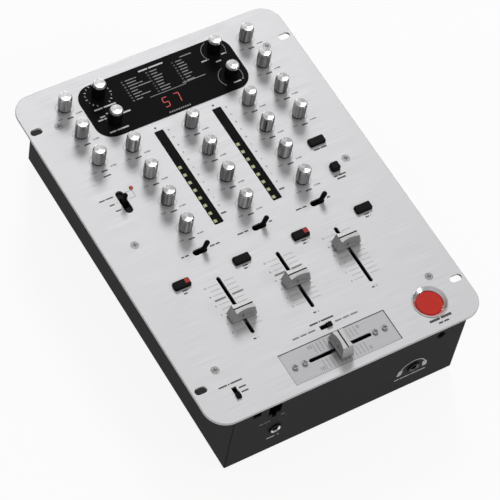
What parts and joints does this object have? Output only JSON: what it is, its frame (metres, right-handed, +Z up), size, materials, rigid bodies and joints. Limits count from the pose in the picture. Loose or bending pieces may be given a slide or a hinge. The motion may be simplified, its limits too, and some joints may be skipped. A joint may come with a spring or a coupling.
{
  "type": "dj mixer",
  "caption": "Table top mixer for disc jockeys with channel faders, a crossfader, rotary knobs, level meters and a black effects panel with a large round push button.",
  "frame": {"origin": "under the middle of the face plate, at the height of the surface that the feet stand on", "axes": "+Z up, -Y towards the user at the crossfader side, +X to the user's right"},
  "size_m": [0.254, 0.346, 0.0983],
  "materials": {
    "plate_aluminium": "brushed along X",
    "case_paint": "fine matt powder coat",
    "foot_rubber": "matt",
    "screw_steel": "zinc plated",
    "panel_black": "matt black",
    "lens_dark": "smoked",
    "lamp_clear": "frosted",
    "board_green": "glass fibre board",
    "pot_steel": "plated sheet",
    "switch_black": "moulded",
    "bezel_chrome": "polished",
    "phono_metal": "plated",
    "knob_silver": "turned and knurled",
    "knob_black": "black with a bright turned top",
    "cap_silver": "silver paint",
    "button_black": "satin",
    "lever_black": "satin",
    "cap_red": "satin"
  },
  "bodies": {
    "chassis": {"face_plate": "plate_aluminium", "chassis_tray": "case_paint", "rear_panel": "case_paint", "rubber_feet": "foot_rubber", "case_screws": "screw_steel", "effects_panel": "panel_black", "crossfader_plate": "plate_aluminium", "meter_lenses": "lens_dark", "meter_leds": "lamp_clear", "display_module": "lens_dark", "main_board": "board_green", "potentiometers": "pot_steel", "fader_tracks": "pot_steel", "switch_bodies": "switch_black", "effect_button_housing": "bezel_chrome", "front_jacks": "switch_black", "rear_jacks": "phono_metal", "power_inlet": "switch_black", "power_supply": "board_green"},
    "ch1_low_knob": {"ch1_low_knob": "knob_silver"},
    "ch1_mid_knob": {"ch1_mid_knob": "knob_silver"},
    "ch1_high_knob": {"ch1_high_knob": "knob_silver"},
    "ch1_gain_knob": {"ch1_gain_knob": "knob_silver"},
    "ch2_low_knob": {"ch2_low_knob": "knob_silver"},
    "ch2_mid_knob": {"ch2_mid_knob": "knob_silver"},
    "ch2_high_knob": {"ch2_high_knob": "knob_silver"},
    "ch2_gain_knob": {"ch2_gain_knob": "knob_silver"},
    "ch3_low_knob": {"ch3_low_knob": "knob_silver"},
    "ch3_mid_knob": {"ch3_mid_knob": "knob_silver"},
    "ch3_high_knob": {"ch3_high_knob": "knob_silver"},
    "ch3_gain_knob": {"ch3_gain_knob": "knob_silver"},
    "mic_low_knob": {"mic_low_knob": "knob_silver"},
    "mic_high_knob": {"mic_high_knob": "knob_silver"},
    "mic_level_knob": {"mic_level_knob": "knob_silver"},
    "cue_level_knob": {"cue_level_knob": "knob_silver"},
    "cue_mix_knob": {"cue_mix_knob": "knob_silver"},
    "booth_knob": {"booth_knob": "knob_silver"},
    "master_knob": {"master_knob": "knob_silver"},
    "fx_bank_knob": {"fx_bank_knob": "knob_black"},
    "fx_select_knob": {"fx_select_knob": "knob_black"},
    "fx_depth_knob": {"fx_depth_knob": "knob_black"},
    "fx_time_knob": {"fx_time_knob": "knob_black"},
    "ch1_fader": {"ch1_fader": "cap_silver"},
    "ch2_fader": {"ch2_fader": "cap_silver"},
    "ch3_fader": {"ch3_fader": "cap_silver"},
    "crossfader": {"crossfader": "cap_silver"},
    "ch1_source_toggle": {"ch1_source_toggle": "lever_black"},
    "ch2_source_toggle": {"ch2_source_toggle": "lever_black"},
    "ch3_source_toggle": {"ch3_source_toggle": "lever_black"},
    "mic_toggle": {"mic_toggle": "lever_black"},
    "ch1_cue_button": {"ch1_cue_button": "button_black"},
    "ch2_cue_button": {"ch2_cue_button": "button_black"},
    "ch3_cue_button": {"ch3_cue_button": "button_black"},
    "fx_cue_button": {"fx_cue_button": "button_black"},
    "split_button": {"split_button": "button_black"},
    "tap_button": {"tap_button": "button_black"},
    "effect_button": {"effect_button": "cap_red"},
    "reverse_switch": {"reverse_switch": "lever_black"},
    "curve_switch": {"curve_switch": "lever_black"},
    "power_rocker": {"power_rocker": "lever_black"}
  },
  "joints": [
    {"name": "ch1_low_knob_turn", "type": "hinge", "parent": "chassis", "child": "ch1_low_knob", "pos_m": [-0.0554, 0.0005, 0.0813], "axis": [0, 0, 1], "range_deg": [-150, 150]},
    {"name": "ch1_mid_knob_turn", "type": "hinge", "parent": "chassis", "child": "ch1_mid_knob", "pos_m": [-0.0554, 0.03, 0.0813], "axis": [0, 0, 1], "range_deg": [-150, 150]},
    {"name": "ch1_high_knob_turn", "type": "hinge", "parent": "chassis", "child": "ch1_high_knob", "pos_m": [-0.0554, 0.0595, 0.0813], "axis": [0, 0, 1], "range_deg": [-150, 150]},
    {"name": "ch1_gain_knob_turn", "type": "hinge", "parent": "chassis", "child": "ch1_gain_knob", "pos_m": [-0.0554, 0.089, 0.0813], "axis": [0, 0, 1], "range_deg": [-150, 150]},
    {"name": "ch2_low_knob_turn", "type": "hinge", "parent": "chassis", "child": "ch2_low_knob", "pos_m": [0, 0.0005, 0.0813], "axis": [0, 0, 1], "range_deg": [-150, 150]},
    {"name": "ch2_mid_knob_turn", "type": "hinge", "parent": "chassis", "child": "ch2_mid_knob", "pos_m": [0, 0.03, 0.0813], "axis": [0, 0, 1], "range_deg": [-150, 150]},
    {"name": "ch2_high_knob_turn", "type": "hinge", "parent": "chassis", "child": "ch2_high_knob", "pos_m": [0, 0.0595, 0.0813], "axis": [0, 0, 1], "range_deg": [-150, 150]},
    {"name": "ch2_gain_knob_turn", "type": "hinge", "parent": "chassis", "child": "ch2_gain_knob", "pos_m": [0, 0.089, 0.0813], "axis": [0, 0, 1], "range_deg": [-150, 150]},
    {"name": "ch3_low_knob_turn", "type": "hinge", "parent": "chassis", "child": "ch3_low_knob", "pos_m": [0.0554, 0.0005, 0.0813], "axis": [0, 0, 1], "range_deg": [-150, 150]},
    {"name": "ch3_mid_knob_turn", "type": "hinge", "parent": "chassis", "child": "ch3_mid_knob", "pos_m": [0.0554, 0.03, 0.0813], "axis": [0, 0, 1], "range_deg": [-150, 150]},
    {"name": "ch3_high_knob_turn", "type": "hinge", "parent": "chassis", "child": "ch3_high_knob", "pos_m": [0.0554, 0.0595, 0.0813], "axis": [0, 0, 1], "range_deg": [-150, 150]},
    {"name": "ch3_gain_knob_turn", "type": "hinge", "parent": "chassis", "child": "ch3_gain_knob", "pos_m": [0.0554, 0.089, 0.0813], "axis": [0, 0, 1], "range_deg": [-150, 150]},
    {"name": "mic_low_knob_turn", "type": "hinge", "parent": "chassis", "child": "mic_low_knob", "pos_m": [-0.087, 0.089, 0.0813], "axis": [0, 0, 1], "range_deg": [-150, 150]},
    {"name": "mic_high_knob_turn", "type": "hinge", "parent": "chassis", "child": "mic_high_knob", "pos_m": [-0.087, 0.1185, 0.0813], "axis": [0, 0, 1], "range_deg": [-150, 150]},
    {"name": "mic_level_knob_turn", "type": "hinge", "parent": "chassis", "child": "mic_level_knob", "pos_m": [-0.087, 0.148, 0.0813], "axis": [0, 0, 1], "range_deg": [-150, 150]},
    {"name": "cue_level_knob_turn", "type": "hinge", "parent": "chassis", "child": "cue_level_knob", "pos_m": [0.087, 0.0595, 0.0813], "axis": [0, 0, 1], "range_deg": [-150, 150]},
    {"name": "cue_mix_knob_turn", "type": "hinge", "parent": "chassis", "child": "cue_mix_knob", "pos_m": [0.087, 0.089, 0.0813], "axis": [0, 0, 1], "range_deg": [-150, 150]},
    {"name": "booth_knob_turn", "type": "hinge", "parent": "chassis", "child": "booth_knob", "pos_m": [0.087, 0.1185, 0.0813], "axis": [0, 0, 1], "range_deg": [-150, 150]},
    {"name": "master_knob_turn", "type": "hinge", "parent": "chassis", "child": "master_knob", "pos_m": [0.087, 0.148, 0.0813], "axis": [0, 0, 1], "range_deg": [-150, 150]},
    {"name": "fx_bank_knob_turn", "type": "hinge", "parent": "chassis", "child": "fx_bank_knob", "pos_m": [-0.0554, 0.1185, 0.0813], "axis": [0, 0, 1], "range_deg": [-150, 150]},
    {"name": "fx_select_knob_turn", "type": "hinge", "parent": "chassis", "child": "fx_select_knob", "pos_m": [-0.0554, 0.148, 0.0813], "axis": [0, 0, 1], "range_deg": [-150, 150]},
    {"name": "fx_depth_knob_turn", "type": "hinge", "parent": "chassis", "child": "fx_depth_knob", "pos_m": [0.0554, 0.1185, 0.0813], "axis": [0, 0, 1], "range_deg": [-150, 150]},
    {"name": "fx_time_knob_turn", "type": "hinge", "parent": "chassis", "child": "fx_time_knob", "pos_m": [0.0554, 0.148, 0.0813], "axis": [0, 0, 1], "range_deg": [-150, 150]},
    {"name": "ch1_fader_slide", "type": "slide", "parent": "chassis", "child": "ch1_fader", "axis": [0, 1, 0], "range_m": [-0.0126, 0.0324]},
    {"name": "ch2_fader_slide", "type": "slide", "parent": "chassis", "child": "ch2_fader", "axis": [0, 1, 0], "range_m": [-0.0214, 0.0236]},
    {"name": "ch3_fader_slide", "type": "slide", "parent": "chassis", "child": "ch3_fader", "axis": [0, 1, 0], "range_m": [-0.0342, 0.0108]},
    {"name": "crossfader_slide", "type": "slide", "parent": "chassis", "child": "crossfader", "axis": [1, 0, 0], "range_m": [-0.0225, 0.0225]},
    {"name": "ch1_source_toggle_turn", "type": "hinge", "parent": "chassis", "child": "ch1_source_toggle", "pos_m": [-0.0554, -0.0236, 0.0713], "axis": [0, 1, 0], "range_deg": [-34, 0]},
    {"name": "ch2_source_toggle_turn", "type": "hinge", "parent": "chassis", "child": "ch2_source_toggle", "pos_m": [0, -0.0236, 0.0713], "axis": [0, 1, 0], "range_deg": [-34, 0]},
    {"name": "ch3_source_toggle_turn", "type": "hinge", "parent": "chassis", "child": "ch3_source_toggle", "pos_m": [0.0554, -0.0236, 0.0713], "axis": [0, 1, 0], "range_deg": [-34, 0]},
    {"name": "mic_toggle_turn", "type": "hinge", "parent": "chassis", "child": "mic_toggle", "pos_m": [-0.0874, 0.0444, 0.0713], "axis": [1, 0, 0], "range_deg": [-17, 17]},
    {"name": "ch1_cue_button_slide", "type": "slide", "parent": "chassis", "child": "ch1_cue_button", "axis": [0, 0, 1], "range_m": [-0.0015, 0], "stiffness_N_per_m": 400},
    {"name": "ch2_cue_button_slide", "type": "slide", "parent": "chassis", "child": "ch2_cue_button", "axis": [0, 0, 1], "range_m": [-0.0015, 0], "stiffness_N_per_m": 400},
    {"name": "ch3_cue_button_slide", "type": "slide", "parent": "chassis", "child": "ch3_cue_button", "axis": [0, 0, 1], "range_m": [-0.0015, 0], "stiffness_N_per_m": 400},
    {"name": "fx_cue_button_slide", "type": "slide", "parent": "chassis", "child": "fx_cue_button", "axis": [0, 0, 1], "range_m": [-0.0015, 0], "stiffness_N_per_m": 400},
    {"name": "split_button_slide", "type": "slide", "parent": "chassis", "child": "split_button", "axis": [0, 0, 1], "range_m": [-0.0015, 0], "stiffness_N_per_m": 400},
    {"name": "tap_button_slide", "type": "slide", "parent": "chassis", "child": "tap_button", "axis": [0, 0, 1], "range_m": [-0.0015, 0], "stiffness_N_per_m": 400},
    {"name": "effect_button_slide", "type": "slide", "parent": "chassis", "child": "effect_button", "axis": [0, 0, 1], "range_m": [-0.0012, 0], "stiffness_N_per_m": 500},
    {"name": "reverse_switch_slide", "type": "slide", "parent": "chassis", "child": "reverse_switch", "axis": [1, 0, 0], "range_m": [-0.0054, 0]},
    {"name": "curve_switch_slide", "type": "slide", "parent": "chassis", "child": "curve_switch", "axis": [0, 1, 0], "range_m": [0, 0.0054]},
    {"name": "power_rocker_turn", "type": "hinge", "parent": "chassis", "child": "power_rocker", "pos_m": [0.085, 0.1589, 0.036], "axis": [1, 0, 0], "range_deg": [-16, 0]}
  ]
}
